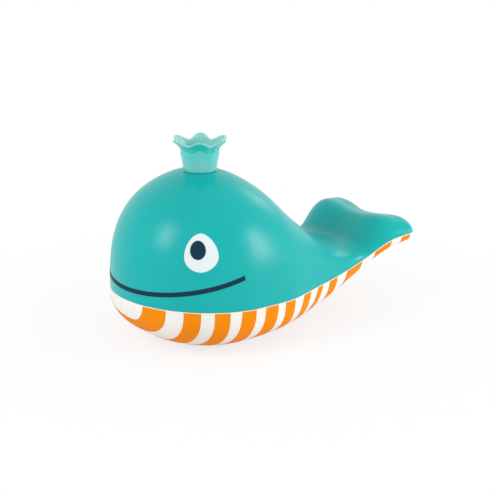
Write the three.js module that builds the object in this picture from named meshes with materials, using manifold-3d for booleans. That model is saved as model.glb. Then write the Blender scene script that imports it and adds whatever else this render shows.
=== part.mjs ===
// Bubble whale: a squeeze foamer for the bath. The soft body is a clamshell, a striped belly tub under a
// lift-off upper shell, with a ruffled crown in the blowhole that carries the foam head and its dip tube.
// Millimetres, +Z up. The nose points to -X and the whale's left side to -Y. The origin is on the floor,
// straight below the blowhole.
import * as THREE from 'three';
import { mergeVertices } from 'three/addons/utils/BufferGeometryUtils.js';
import Module from 'manifold-3d';

const wasm = await Module();
wasm.setup();

// Body form
const HEAD_RADIUS = 53.5; // plan radius of the round head, also its reach to the nose
const DOME_HEIGHT = 69.3; // top of the head above the parting seam
const BELLY_DEPTH = 31.6; // keel below the seam, before the foot is cut flat
const FOOT_CUT = 1.3; // depth of the flat that the toy stands on
const FOOT_FLOOR = 3; // thickness of the tub over that flat
const SECTION_POWER = 2.9; // fullness of each cross-section: 2 is an ellipse, more is squarer
const SEAM_GAP = 0.3; // the two halves of the clamshell part by this much
const WALL = 2.4; // soft shell round the reservoir
const TAIL_WALL = 1.6;
const FIT = 0.3; // clearance of pieces that fit into each other

// Stations of the back and tail, as shares. Of the tail's reach: how far aft of the blowhole, and the notch
// between the two tail lobes. Of the head's radius: half width. Of the dome's height: crest above the seam.
// Of the belly's depth: keel below the seam, rise of the seam over the head's, and arch of the tail lobes.
const TAIL_REACH = 131; // from the blowhole to the last station
const STATIONS = [
  { aft: 0.206, half: 0.953, crest: 0.909, keel: 0.892, rise: -0.063, arch: 0, notch: 0 },
  { aft: 0.405, half: 0.809, crest: 0.563, keel: 0.772, rise: -0.047, arch: 0, notch: 0 },
  { aft: 0.611, half: 0.669, crest: 0.231, keel: 0.551, rise: 0.009, arch: 0, notch: 0 },
  { aft: 0.763, half: 0.617, crest: 0.115, keel: 0.41, rise: 0.149, arch: 0.054, notch: 0 },
  { aft: 0.885, half: 0.692, crest: 0.144, keel: 0.43, rise: 0.43, arch: 0.117, notch: 0.008 },
  { aft: 1, half: 0.74, crest: 0.089, keel: 0.36, rise: 0.532, arch: 0.095, notch: 0.038 },
];
const TAIL_TIP_LENGTH = 7.7; // rounded trailing edge behind the last station
const TAIL_TIP_HALF = 21.7; // half width where that edge ends
const TAIL_TIP_DROP = 0.7;

// Hollow inside, closed off from the tail by a bulkhead
const RESERVOIR_SHARE = 0.64; // of the tail's reach, up to the bulkhead
const BULKHEAD = 2;

// Lip of the belly tub, which plugs into the upper shell, and the seal in its groove
const LIP_HEIGHT = 6;
const LIP_ROOT = 4;
const LIP_WALL = 3.2;
const SEAL_HEIGHT = 2.2;
const SEAL_DEPTH = 1.5;
const SEAL_LEVEL = 1.8; // underside of the groove above the seam
const SEAL_RUN = 0.2; // slack of both seals against the wall that they wipe

// Posts that key the two tail halves together
const POST_SHARE = 0.81; // of the tail's reach
const POST_SIDE = 14;
const POST_RADIUS = 2.2;
const POST_REACH = 3;
const SOCKET_WALL = 1.8;

// Crown and its plug, heights from the crown's base
const COLLAR_HEIGHT = 0.8; // flat collar that the crown sits on, above the dome at its edge
const CROWN_BASE_RADIUS = 9.7;
const CREASE_RADIUS = 11.3;
const CREASE_HEIGHT = 11.4;
const CREASE_STEP = 0.4; // the flare starts this much inside the crease
const RIM_RADIUS = 15.2; // mean of the lobes and the valleys
const RIM_HEIGHT = 16.5;
const LOBES = 6;
const RIM_WAVE = 1.8;
const RIM_RUFFLE = 1.4; // lobes stand this much above the mean rim, valleys below
const CREASE_RUFFLE = 1.2;
const CROWN_WALL = 1.4;
const CROWN_TURN = -8; // degrees, the way the crown happens to be pushed in
const CUP_FLOOR = 2.4;
const PLUG_RADIUS = 8.6;
const PLUG_LENGTH = 14;
const THROAT_ROOF = 1.5; // below the crown's base
const THROAT_RADIUS = 6.4;
const OUTLET_RADIUS = 5.4;
const NECK_WALL = 3.4;
const NECK_SHORT = 1; // the neck ends this much above the end of the plug
const CROWN_SEAL_SECTION = 0.6; // radius of the round seal
const CROWN_SEAL_LEVEL = 7; // below the crown's base

// Foam head inside the plug
const MESH_THICKNESS = 0.6;
const MESH_PITCH = 2.3;
const MESH_HOLE = 1.5;
const MESH_RIM = 0.6;
const SPACER_HEIGHT = 4;
const SPACER_WALL = 0.9;
const CHAMBER_WALL = 1.1;
const FLANGE_RADIUS = 8.3;
const FLANGE_THICKNESS = 2;
const CAGE_WALL = 1.6;
const BALL_RADIUS = 2.4;
const BALL_SLACK = 0.8; // the ball runs this loosely in its cage
const BALL_LIFT = 2;
const BALL_HOLE_RADIUS = 1.7;
const PORT_RADIUS = 0.9;
const PORT_DROP = 2.4; // air ports below the flange
const TUBE_RADIUS = 3;
const TUBE_WALL = 1;
const TUBE_SOCKET = 6;
const TUBE_FOOT_GAP = 3; // slant-cut foot above the floor of the tub
const TUBE_SLANT = 20; // degrees

// Printed face and stripes, each a thin film just off the shell
const FILM_GAP = 0.4;
const FILM = 0.4;
// The taper is a power that draws in the side of the eye towards the tail: 1 leaves it round
const EYE = { turn: 54.2, height: 32.5, half: 9.7, up: 12, down: 8.8, taper: 1.25 };
const PUPIL = { turn: 52, height: 35.8, half: 4.4, up: 5.1, down: 5.1, taper: 1 };
const MOUTH_LOW = 8.2; // above the seam, at the nose
const MOUTH_RISE = 10.4;
const MOUTH_SWEEP = 81.8; // degrees to each side of the nose
const MOUTH_WIDTH = 2.7;
const STRIPE_TOP = 0.8; // bare edge between the stripes and the seam
const STRIPE_MEET = 1.5; // degrees that each side's stripes stop short of the keel line
const MASK_SLIP = 11; // the right flank's first stripe starts this far behind the left one's
const MATCHED_STRIPES = 6; // the slip fades out over this many stripes
// Front and back edge under the seam, as shares of the way from the nose to the last station, and how far
// the stripe sweeps aft on its way down to the keel
const STRIPES = [
  [0.011, 0.043, 1.5], [0.078, 0.118, 1], [0.154, 0.199, 0], [0.238, 0.29, -2], [0.328, 0.381, -2],
  [0.414, 0.46, -2], [0.508, 0.548, -8], [0.587, 0.616, -11], [0.651, 0.696, -6], [0.747, 0.824, -8],
  [0.87, 0.928, -3], [0.966, 1, 0],
];

// Facet counts
const ARC_STEPS = 14;
const NOSE_STEPS = 9;
const NOSE_CROWDING = 1.3; // above 1 draws the nose's sections closer to its tip
const BACK_STEPS = 16;
const TIP_STEPS = 3;
const ROUND_STEPS = 32;
const SMALL_STEPS = 16;
const RUFFLE_STEPS = 6; // for each lobe of the crown
const MOUTH_STEPS = 32;
const FLANK_STEPS = 12; // of the lip and the seal, along each flank
const SEAL_STEPS = 6;
const STRIPE_STEPS = 8;

const SEAM_HEIGHT = BELLY_DEPTH - FOOT_CUT;
const DOME_TOP = SEAM_HEIGHT + DOME_HEIGHT;
const RESERVOIR_END = RESERVOIR_SHARE * TAIL_REACH;
const POST_AFT = POST_SHARE * TAIL_REACH;
const LIP_INSET = WALL + FIT;
const GROOVE_INSET = LIP_INSET + SEAL_DEPTH;
const COLLAR_RADIUS = CROWN_BASE_RADIUS + FIT;
const COLLAR_FOOT = DOME_HEIGHT * (1 - (COLLAR_RADIUS / HEAD_RADIUS) ** 2) ** (1 / SECTION_POWER);
const COLLAR_TOP = SEAM_HEIGHT + COLLAR_FOOT + COLLAR_HEIGHT;
const CROWN_BASE = COLLAR_TOP + FIT;
const BORE_RADIUS = PLUG_RADIUS + FIT;
const CARTRIDGE_RADIUS = THROAT_RADIUS - FIT;

const TEAL = { color: 0x21b3b3, roughness: 0.5, metalness: 0 };
const WHITE = { color: 0xf4f4ef, roughness: 0.5, metalness: 0 };
const ORANGE = { color: 0xf1901c, roughness: 0.5, metalness: 0 };
const AQUA = { color: 0x86cdc9, roughness: 0.35, metalness: 0 };
const EYE_WHITE = { color: 0xe9f2f8, roughness: 0.45, metalness: 0 };
const INK = { color: 0x263e4e, roughness: 0.45, metalness: 0 };
const SILICONE = { color: 0xd4dadb, roughness: 0.6, metalness: 0 };
const MOULDING = { color: 0xf1f1ed, roughness: 0.4, metalness: 0 };
const GAUZE = { color: 0xdfe6e8, roughness: 0.6, metalness: 0 };
const STEEL = { color: 0xb9bdc1, roughness: 0.25, metalness: 1 };

// Profile of the body: one cross-section for each x, drawn in by inset for the walls inside
const spline = new THREE.CubicInterpolant(
  [0, ...STATIONS.map((station) => station.aft * TAIL_REACH)],
  [{ half: 1, crest: 1, keel: 1, rise: 0, arch: 0, notch: 0 }, ...STATIONS].flatMap((station) => [
    station.half * HEAD_RADIUS,
    station.rise * BELLY_DEPTH,
    station.crest * DOME_HEIGHT,
    station.keel * BELLY_DEPTH,
    station.arch * BELLY_DEPTH,
    station.notch * TAIL_REACH,
  ]),
  6,
);
spline.settings = { endingStart: THREE.ZeroSlopeEnding, endingEnd: THREE.ZeroCurvatureEnding };

function sectionAt(x, inset = 0) {
  if (x < 0) {
    const radius = HEAD_RADIUS - inset;
    const shrink = Math.sqrt(Math.max(0, 1 - (x / radius) ** 2));
    return {
      half: radius * shrink,
      seam: SEAM_HEIGHT,
      crest: (DOME_HEIGHT - inset) * shrink ** (2 / SECTION_POWER),
      keel: (BELLY_DEPTH - inset) * shrink,
      arch: 0,
      notch: 0,
    };
  }
  const [half, rise, crest, keel, arch, notch] = spline.evaluate(Math.min(x, TAIL_REACH));
  const past = Math.min(1, Math.max(0, x - TAIL_REACH) / TAIL_TIP_LENGTH);
  const round = Math.sqrt(1 - past ** 2);
  return {
    half: TAIL_TIP_HALF + (half - TAIL_TIP_HALF) * round - inset,
    seam: SEAM_HEIGHT + rise - TAIL_TIP_DROP * past,
    crest: crest * round - inset,
    keel: keel * round - inset,
    arch,
    notch,
  };
}

// Height of the crest (side 1), the keel (side -1) or the parting face (side 0) of a section, where across
// runs from -1 at its left edge to 1 at its right
function surfaceHeight(section, across, side) {
  const inner = 1 - across ** 2;
  const height = side > 0 ? section.crest : -section.keel;
  const bulge = Math.abs(side) * height * inner ** (1 / SECTION_POWER);
  return section.seam + bulge + section.arch * 4 * inner * across ** 2;
}

// A point of the section at x. The turn runs from the left seam (0) over crest or keel to the right (pi).
function sectionPoint(x, turn, side, inset = 0) {
  const section = sectionAt(x, inset);
  const reach = Math.sin(turn) ** SECTION_POWER;
  const across = -Math.sign(Math.cos(turn)) * Math.sqrt(Math.max(0, 1 - reach));
  const notched = x - section.notch * (1 - across ** 2) ** 2;
  return new THREE.Vector3(notched, section.half * across, surfaceHeight(section, across, side));
}

// A point of the round head, turned from the nose towards the right and raised above the seam
function headPoint(turn, height, outset = 0) {
  const share = Math.max(0, height) / (DOME_HEIGHT + outset);
  const radius = (HEAD_RADIUS + outset) * Math.sqrt(1 - share ** SECTION_POWER);
  return new THREE.Vector3(-radius * Math.cos(turn), radius * Math.sin(turn), SEAM_HEIGHT + height);
}

// A closed skin through rings with equal, even point counts. The rings run on into the first one again, or
// end in poles, which are rings of one point, or in flat caps laid from side to side of the end ring.
function loft(rings, endless = false) {
  const points = rings.flat();
  const count = Math.max(...rings.map((ring) => ring.length));
  const poles = [rings[0], rings.at(-1)].map((ring) => ring.length === 1);
  const first = poles[0] ? 1 : 0;
  const closedRings = rings.filter((ring) => ring.length > 1);
  const starts = closedRings.map((_, i) => first + i * count);
  const faces = [];
  const strip = (from, to) => {
    for (let j = 0; j < count; j += 1) {
      const next = (j + 1) % count;
      faces.push(from + j, to + j, from + next, from + next, to + j, to + next);
    }
  };
  const close = (pole, ring, order) => {
    for (let j = 0; j < (pole === null ? count / 2 - 1 : count); j += 1) {
      const far = ring + count - 1 - j;
      const next = ring + ((j + 1) % count);
      const cap = pole === null ? [[ring + j, next, far], [next, far - 1, far]] : [[ring + j, next, pole]];
      cap.forEach((triangle) => faces.push(...order(triangle)));
    }
  };
  starts.slice(1).forEach((start, i) => strip(starts[i], start));
  if (endless) {
    strip(starts.at(-1), starts[0]);
  } else {
    close(poles[0] ? 0 : null, starts[0], (triangle) => triangle);
    close(poles[1] ? points.length - 1 : null, starts.at(-1), (triangle) => triangle.reverse());
  }
  return faceOut(new THREE.BufferGeometry().setFromPoints(points).setIndex(faces));
}

// Welds a geometry, drops its empty triangles and turns its faces outward
function faceOut(geometry) {
  const bare = geometry.clone();
  bare.deleteAttribute('normal');
  bare.deleteAttribute('uv');
  const welded = mergeVertices(bare, 1e-4);
  const corners = [...welded.index.array];
  const [a, b, c] = [new THREE.Vector3(), new THREE.Vector3(), new THREE.Vector3()];
  const kept = [];
  let volume = 0;
  for (let i = 0; i < corners.length; i += 3) {
    const triangle = corners.slice(i, i + 3);
    if (new Set(triangle).size === 3) {
      kept.push(triangle);
      [a, b, c].forEach((corner, k) => corner.fromBufferAttribute(welded.attributes.position, triangle[k]));
      volume += a.dot(b.cross(c));
    }
  }
  const outward = volume < 0 ? kept.map((triangle) => triangle.reverse()) : kept;
  return welded.setIndex(outward.flat());
}

function solid(geometry) {
  const shell = faceOut(geometry);
  const vertProperties = new Float32Array(shell.attributes.position.array);
  const triVerts = new Uint32Array(shell.index.array);
  return new wasm.Manifold(new wasm.Mesh({ numProp: 3, vertProperties, triVerts }));
}

function skin(body) {
  const { vertProperties, triVerts } = body.getMesh();
  const geometry = new THREE.BufferGeometry();
  geometry.setAttribute('position', new THREE.BufferAttribute(vertProperties, 3));
  return geometry.setIndex(new THREE.BufferAttribute(triVerts, 1));
}

// Revolves a profile of [radius, height] pairs about Z
function revolve(profile, facets = ROUND_STEPS) {
  const points = profile.map(([radius, height]) => new THREE.Vector2(radius, height));
  return faceOut(new THREE.LatheGeometry(points, facets).rotateX(Math.PI / 2));
}

function tube(outer, inner, bottom, top, facets = ROUND_STEPS) {
  return revolve([[inner, bottom], [outer, bottom], [outer, top], [inner, top], [inner, bottom]], facets);
}

function rod(radius, bottom, top, facets = ROUND_STEPS) {
  return revolve([[0, bottom], [radius, bottom], [radius, top], [0, top]], facets);
}

function steps(count, from, to) {
  return Array.from({ length: count + 1 }, (_, i) => from + ((to - from) * i) / count);
}

function named(name, geometry, look) {
  geometry.computeVertexNormals();
  const mesh = new THREE.Mesh(geometry, new THREE.MeshStandardMaterial(look));
  mesh.name = name;
  return mesh;
}

// A ring of the body: one arc from left to right and another one back
function bodyRing(x, over, under, inset = 0) {
  const turns = steps(ARC_STEPS, 0, Math.PI);
  const out = turns.map((turn) => sectionPoint(x, turn, over, inset));
  const back = turns.slice(1, -1).reverse().map((turn) => sectionPoint(x, turn, under, inset));
  return [...out, ...back];
}

function noseTurns() {
  return steps(NOSE_STEPS, 0, 1).slice(1).map((share) => (Math.PI / 2) * share ** NOSE_CROWDING);
}

function noseStations(inset) {
  return noseTurns().map((turn) => (inset - HEAD_RADIUS) * Math.cos(turn));
}

function noseTip(inset) {
  return [new THREE.Vector3(inset - HEAD_RADIUS, 0, SEAM_HEIGHT)];
}

// Solid upper or lower half, from the nose to the trailing edge of the tail
function halfBlank(over, under) {
  const tip = steps(TIP_STEPS, 0, Math.PI / 2).slice(1);
  const along = [
    ...noseStations(0),
    ...steps(BACK_STEPS, 0, TAIL_REACH).slice(1),
    ...tip.map((turn) => TAIL_REACH + TAIL_TIP_LENGTH * Math.sin(turn)),
  ];
  return solid(loft([noseTip(0), ...along.map((x) => bodyRing(x, over, under))]));
}

// Spaces inside the wall: the reservoir from the nose to the bulkhead, and the pocket in the tail
function reservoir() {
  const count = Math.ceil(BACK_STEPS * RESERVOIR_SHARE);
  const along = [...noseStations(WALL), ...steps(count, 0, RESERVOIR_END).slice(1)];
  return solid(loft([noseTip(WALL), ...along.map((x) => bodyRing(x, 1, -1, WALL))]));
}

function tailPocket() {
  const start = RESERVOIR_END + BULKHEAD;
  const count = Math.ceil(BACK_STEPS * (1 - RESERVOIR_SHARE));
  const along = steps(count, start, TAIL_REACH);
  return solid(loft(along.map((x) => bodyRing(x, 1, -1, TAIL_WALL))));
}

// Sweeps an outline of [inset, height above the seam] round the reservoir, along its wall
function seamSweep(outline) {
  const onHead = (turn) => outline.map(([inset, height]) => headPoint(turn, height, -inset));
  const onFlank = (share, side) => outline.map(([inset, height]) => {
    const x = (RESERVOIR_END + WALL - inset) * share;
    const section = sectionAt(x, inset);
    const reach = Math.max(0, height) / section.crest;
    const half = section.half * Math.sqrt(1 - reach ** SECTION_POWER);
    return new THREE.Vector3(x, side * half, section.seam + height);
  });
  const turns = noseTurns();
  const shares = steps(FLANK_STEPS, 0, 1).slice(1);
  const loop = [
    ...shares.toReversed().map((share) => onFlank(share, -1)),
    ...turns.toReversed().map((turn) => onHead(-turn)),
    onHead(0),
    ...turns.map((turn) => onHead(turn)),
    ...shares.map((share) => onFlank(share, 1)),
  ];
  return loft(loop, true);
}

function tailPosts(radius, bottom, top) {
  return [-POST_SIDE, POST_SIDE].map((side) =>
    solid(rod(radius, bottom, top, SMALL_STEPS).translate(POST_AFT, side, 0)));
}

function postHeight(side) {
  const section = sectionAt(POST_AFT);
  return surfaceHeight(section, POST_SIDE / section.half, side);
}

function upperShell() {
  const blank = halfBlank(1, 0);
  const neckEnd = CROWN_BASE - PLUG_LENGTH + NECK_SHORT;
  const neck = solid(rod(BORE_RADIUS + NECK_WALL, neckEnd, DOME_TOP));
  const collar = solid(rod(COLLAR_RADIUS, neckEnd, COLLAR_TOP));
  const bore = solid(rod(BORE_RADIUS, neckEnd - WALL, CROWN_BASE + WALL));
  const seam = postHeight(0);
  const roof = postHeight(1) - TAIL_WALL / 2;
  let shell = blank.subtract(reservoir()).subtract(tailPocket());
  shell = shell.add(neck.intersect(blank)).add(collar).subtract(bore);
  tailPosts(POST_RADIUS + FIT + SOCKET_WALL, seam - POST_REACH, roof).forEach((socket) => {
    shell = shell.add(socket.intersect(blank));
  });
  tailPosts(POST_RADIUS + FIT, seam - POST_REACH, seam + POST_REACH + FIT).forEach((hole) => {
    shell = shell.subtract(hole);
  });
  return named('upper_shell', skin(shell), TEAL);
}

// Everything under the body up to a height
function below(height) {
  const block = new THREE.BoxGeometry(4 * HEAD_RADIUS, 4 * HEAD_RADIUS, BELLY_DEPTH);
  return solid(block.translate(0, 0, height - BELLY_DEPTH / 2));
}

function bellyTub() {
  const groove = [SEAL_LEVEL, SEAL_LEVEL + SEAL_HEIGHT + 2 * FIT];
  const inside = LIP_INSET + LIP_WALL;
  const lip = seamSweep([
    [WALL / 2, -LIP_ROOT], [WALL / 2, -SEAM_GAP - WALL / 2], [LIP_INSET, -SEAM_GAP - WALL / 2],
    [LIP_INSET, groove[0]], [GROOVE_INSET, groove[0]], [GROOVE_INSET, groove[1]], [LIP_INSET, groove[1]],
    [LIP_INSET, LIP_HEIGHT], [inside, LIP_HEIGHT], [inside, -LIP_ROOT],
  ]);
  const hollow = reservoir().subtract(below(FOOT_FLOOR + SEAM_GAP));
  const blank = halfBlank(0, -1);
  let tub = blank.subtract(hollow).subtract(tailPocket());
  tailPosts(POST_RADIUS, postHeight(-1) - POST_REACH, postHeight(0)).forEach((post) => {
    tub = tub.add(post.intersect(blank));
  });
  tub = tub.translate(0, 0, -SEAM_GAP).add(solid(lip));
  tailPosts(POST_RADIUS, postHeight(0) - POST_REACH, postHeight(0) + POST_REACH).forEach((peg) => {
    tub = tub.add(peg);
  });
  tub = tub.subtract(below(0));
  return named('belly_tub', skin(tub), WHITE);
}

function bodySeal() {
  const [outer, inner] = [WALL + SEAL_RUN, GROOVE_INSET - FIT];
  const [low, high] = [SEAL_LEVEL + FIT, SEAL_LEVEL + FIT + SEAL_HEIGHT];
  return named('body_seal', seamSweep([[outer, low], [outer, high], [inner, high], [inner, low]]), SILICONE);
}

// Crown: a revolved cup, plug and throat whose crease and rim are then ruffled into lobes
function crown() {
  const grooveDepth = 2 * CROWN_SEAL_SECTION + FIT - SEAL_RUN;
  const grooveHalf = CROWN_SEAL_SECTION + FIT;
  const flare = new THREE.QuadraticBezierCurve(
    new THREE.Vector2(CREASE_RADIUS - CREASE_STEP, CREASE_HEIGHT + CREASE_STEP),
    new THREE.Vector2(CREASE_RADIUS, (CREASE_HEIGHT + 2 * RIM_HEIGHT) / 3),
    new THREE.Vector2(RIM_RADIUS, RIM_HEIGHT),
  ).getPoints(3).map((point) => [point.x, point.y]);
  const lining = flare.map(([radius, height]) => [radius - CROWN_WALL, height + CROWN_WALL / 2]).reverse();
  const outline = revolve([
    [THROAT_RADIUS, -PLUG_LENGTH],
    [PLUG_RADIUS, -PLUG_LENGTH],
    [PLUG_RADIUS, -CROWN_SEAL_LEVEL - grooveHalf],
    [PLUG_RADIUS - grooveDepth, -CROWN_SEAL_LEVEL - grooveHalf],
    [PLUG_RADIUS - grooveDepth, -CROWN_SEAL_LEVEL + grooveHalf],
    [PLUG_RADIUS, -CROWN_SEAL_LEVEL + grooveHalf],
    [PLUG_RADIUS, 0],
    [CROWN_BASE_RADIUS, 0],
    [CREASE_RADIUS, CREASE_HEIGHT],
    ...flare,
    ...lining,
    [CREASE_RADIUS - CROWN_WALL - CREASE_STEP, CREASE_HEIGHT],
    [CROWN_BASE_RADIUS - CROWN_WALL, CUP_FLOOR],
    [OUTLET_RADIUS, CUP_FLOOR],
    [OUTLET_RADIUS, -THROAT_ROOF],
    [THROAT_RADIUS, -THROAT_ROOF],
    [THROAT_RADIUS, -PLUG_LENGTH],
  ], LOBES * RUFFLE_STEPS);
  const place = outline.attributes.position;
  for (let i = 0; i < place.count; i += 1) {
    const [x, y, z] = [place.getX(i), place.getY(i), place.getZ(i)];
    const wave = Math.cos(LOBES * Math.atan2(y, x));
    const rim = THREE.MathUtils.clamp((z - CREASE_HEIGHT) / (RIM_HEIGHT - CREASE_HEIGHT), 0, 1);
    const crease = THREE.MathUtils.smoothstep(z, CUP_FLOOR, CREASE_HEIGHT);
    const stretch = 1 + (RIM_WAVE * rim * wave) / Math.hypot(x, y);
    const lift = THREE.MathUtils.lerp(CREASE_RUFFLE * crease, RIM_RUFFLE, rim) * wave;
    place.setXYZ(i, x * stretch, y * stretch, z + lift);
  }
  return named('crown', outline, AQUA);
}

function crownSeal() {
  const radius = BORE_RADIUS - SEAL_RUN - CROWN_SEAL_SECTION;
  const ring = new THREE.TorusGeometry(radius, CROWN_SEAL_SECTION, SEAL_STEPS, ROUND_STEPS);
  return named('crown_seal', faceOut(ring.translate(0, 0, -CROWN_SEAL_LEVEL)), SILICONE);
}

// Fine mesh disc that breaks the suds into foam, its top at the given height
function foamMesh(name, top) {
  const reach = Math.floor(CARTRIDGE_RADIUS / MESH_PITCH);
  const rows = steps(2 * reach, -reach, reach).map((row) => row * MESH_PITCH);
  const gaps = rows.flatMap((x) => rows.map((y) => [x, y])).filter(([x, y]) =>
    Math.hypot(Math.abs(x) + MESH_HOLE / 2, Math.abs(y) + MESH_HOLE / 2) < CARTRIDGE_RADIUS - MESH_RIM);
  const disc = solid(rod(CARTRIDGE_RADIUS, top - MESH_THICKNESS, top, SMALL_STEPS));
  const sheet = gaps.reduce((rest, [x, y]) => {
    const gap = new THREE.BoxGeometry(MESH_HOLE, MESH_HOLE, 4 * MESH_THICKNESS);
    return rest.subtract(solid(gap.translate(x, y, top)));
  }, disc);
  return named(name, skin(sheet), GAUZE);
}

// Foam head: two meshes with a spacer between, a mixing chamber with its ball valve, and the dip tube
function foamHead() {
  const upperMesh = -THROAT_ROOF - FIT;
  const spacer = upperMesh - MESH_THICKNESS - FIT;
  const lowerMesh = spacer - SPACER_HEIGHT - FIT;
  const chamber = lowerMesh - MESH_THICKNESS - FIT;
  const flange = -PLUG_LENGTH - FIT;
  const cageRadius = BALL_RADIUS + BALL_SLACK;
  const ballRest = Math.sqrt(BALL_RADIUS ** 2 - BALL_HOLE_RADIUS ** 2);
  const cageTop = flange - FLANGE_THICKNESS - PORT_DROP - 2 * PORT_RADIUS;
  const seat = cageTop - 2 * ballRest - BALL_LIFT - 2 * FIT;
  const shoulder = seat - CAGE_WALL;
  const cageOuter = Math.max(cageRadius, TUBE_RADIUS + FIT) + CAGE_WALL;
  const well = CARTRIDGE_RADIUS - CHAMBER_WALL;
  const spacerBore = CARTRIDGE_RADIUS - SPACER_WALL;
  const body = solid(revolve([
    [well, chamber],
    [CARTRIDGE_RADIUS, chamber],
    [CARTRIDGE_RADIUS, flange],
    [FLANGE_RADIUS, flange],
    [FLANGE_RADIUS, flange - FLANGE_THICKNESS],
    [cageOuter, flange - FLANGE_THICKNESS],
    [cageOuter, shoulder - TUBE_SOCKET],
    [TUBE_RADIUS + FIT, shoulder - TUBE_SOCKET],
    [TUBE_RADIUS + FIT, shoulder],
    [BALL_HOLE_RADIUS, shoulder],
    [BALL_HOLE_RADIUS, seat],
    [cageRadius, seat],
    [cageRadius, cageTop],
    [BALL_HOLE_RADIUS, cageTop],
    [BALL_HOLE_RADIUS, flange],
    [well, flange + FLANGE_THICKNESS],
    [well, chamber],
  ], SMALL_STEPS));
  const port = new THREE.CylinderGeometry(PORT_RADIUS, PORT_RADIUS, 4 * cageOuter, 10);
  const ports = [0, Math.PI / 2].map((turn) =>
    solid(port.clone().rotateZ(turn).translate(0, 0, flange - FLANGE_THICKNESS - PORT_DROP)));
  const chamberBody = ports.reduce((rest, hole) => rest.subtract(hole), body);

  const ball = new THREE.SphereGeometry(BALL_RADIUS, SMALL_STEPS, SMALL_STEPS / 2).rotateX(Math.PI / 2);
  const foot = FOOT_FLOOR + TUBE_FOOT_GAP - CROWN_BASE;
  const straw = tube(TUBE_RADIUS, TUBE_RADIUS - TUBE_WALL, foot, shoulder - FIT, SMALL_STEPS);
  const place = straw.attributes.position;
  for (let i = 0; i < place.count; i += 1) {
    if (place.getZ(i) < foot + FIT) {
      place.setZ(i, foot + (place.getX(i) + TUBE_RADIUS) * Math.tan(THREE.MathUtils.degToRad(TUBE_SLANT)));
    }
  }
  return [
    foamMesh('upper_mesh', upperMesh),
    named('mesh_spacer', tube(CARTRIDGE_RADIUS, spacerBore, spacer - SPACER_HEIGHT, spacer), MOULDING),
    foamMesh('lower_mesh', lowerMesh),
    named('mixing_chamber', skin(chamberBody), MOULDING),
    named('valve_ball', faceOut(ball.translate(0, 0, seat + ballRest + FIT)), STEEL),
    named('dip_tube', straw, MOULDING),
  ];
}

// Thin egg-shaped film on the head, as rings from its middle to its edge and back underneath
function eyeFilm(name, shape, level, side, look) {
  const radius = -headPoint(0, shape.height).x;
  const angles = steps(SMALL_STEPS, 0, 2 * Math.PI).slice(1);
  const spot = (share, outset) => angles.map((angle) => {
    const rise = Math.sin(angle) * (Math.sin(angle) > 0 ? shape.up : shape.down);
    const swing = Math.cos(angle) > 0 ? Math.cos(angle) ** shape.taper : Math.cos(angle);
    const turn = THREE.MathUtils.degToRad(shape.turn) + (share * shape.half * swing) / radius;
    return headPoint(side * turn, shape.height + share * rise, outset);
  });
  const middle = (outset) => [headPoint(side * THREE.MathUtils.degToRad(shape.turn), shape.height, outset)];
  const [low, high] = [level, level + FILM];
  const film = [middle(high), spot(0.5, high), spot(1, high), spot(1, low), spot(0.5, low), middle(low)];
  return named(name, loft(film), look);
}

// The smile, a parabola laid round the head with its sections square to the line
function mouthFilm() {
  const sweep = THREE.MathUtils.degToRad(MOUTH_SWEEP);
  const radius = -headPoint(0, MOUTH_LOW).x;
  const sections = steps(MOUTH_STEPS, -1, 1).map((share) => {
    const lean = Math.atan((2 * MOUTH_RISE * share) / (sweep * radius));
    const corner = (across, outset) => headPoint(
      share * sweep - (across * Math.sin(lean)) / radius,
      MOUTH_LOW + MOUTH_RISE * share ** 2 + across * Math.cos(lean),
      outset,
    );
    const [low, high] = [-MOUTH_WIDTH / 2, MOUTH_WIDTH / 2];
    const [under, over] = [FILM_GAP, FILM_GAP + FILM];
    return [corner(low, under), corner(high, under), corner(high, over), corner(low, over)];
  });
  return named('mouth_line', loft(sections), INK);
}

// Painted stripe on one flank of the belly, from just below the seam to the keel line or the foot's edge
function stripeFilm(name, [front, back, sweep], side, slip) {
  const edgeTurn = (x, inset, share) => {
    const section = sectionAt(x, inset);
    const low = section.seam - SEAM_GAP - FIT - FILM;
    const start = Math.asin(STRIPE_TOP / section.keel);
    const end = Math.asin(Math.min(Math.cos(THREE.MathUtils.degToRad(STRIPE_MEET)), low / section.keel));
    return THREE.MathUtils.lerp(start, end, share);
  };
  const length = HEAD_RADIUS + TAIL_REACH;
  const columns = steps(2, front * length - HEAD_RADIUS, back * length - HEAD_RADIUS);
  const row = (share, inset) => columns.map((top) => {
    const down = Math.sin(edgeTurn(top, 0, share));
    const x = top + slip * (1 - down) + sweep * down;
    const turn = edgeTurn(x, inset, share);
    return sectionPoint(x, side < 0 ? turn : Math.PI - turn, -1, inset);
  });
  const sections = steps(STRIPE_STEPS, 0, 1).map((share) =>
    [...row(share, -FILM_GAP), ...row(share, -FILM_GAP - FILM).reverse()]);
  return named(name, loft(sections).translate(0, 0, -SEAM_GAP), ORANGE);
}

const belly = new THREE.Group();
belly.add(bellyTub(), bodySeal());
STRIPES.forEach((stripe, index) => {
  const number = String(index + 1).padStart(2, '0');
  const slip = MASK_SLIP * Math.max(0, 1 - index / MATCHED_STRIPES);
  belly.add(
    stripeFilm(`stripe_${number}_left`, stripe, -1, 0),
    stripeFilm(`stripe_${number}_right`, stripe, 1, slip),
  );
});

const crownGroup = new THREE.Group();
crownGroup.add(crown(), crownSeal(), ...foamHead());
crownGroup.position.z = CROWN_BASE;
crownGroup.rotation.z = THREE.MathUtils.degToRad(CROWN_TURN);

const upper = new THREE.Group();
upper.add(upperShell(), mouthFilm(), crownGroup);
[['left', -1], ['right', 1]].forEach(([flank, side]) => {
  upper.add(eyeFilm(`eye_${flank}`, EYE, FILM_GAP, side, EYE_WHITE));
  upper.add(eyeFilm(`pupil_${flank}`, PUPIL, 2 * FILM_GAP + FILM, side, INK));
});

const whale = new THREE.Group();
whale.add(belly, upper);

export default whale;
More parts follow.
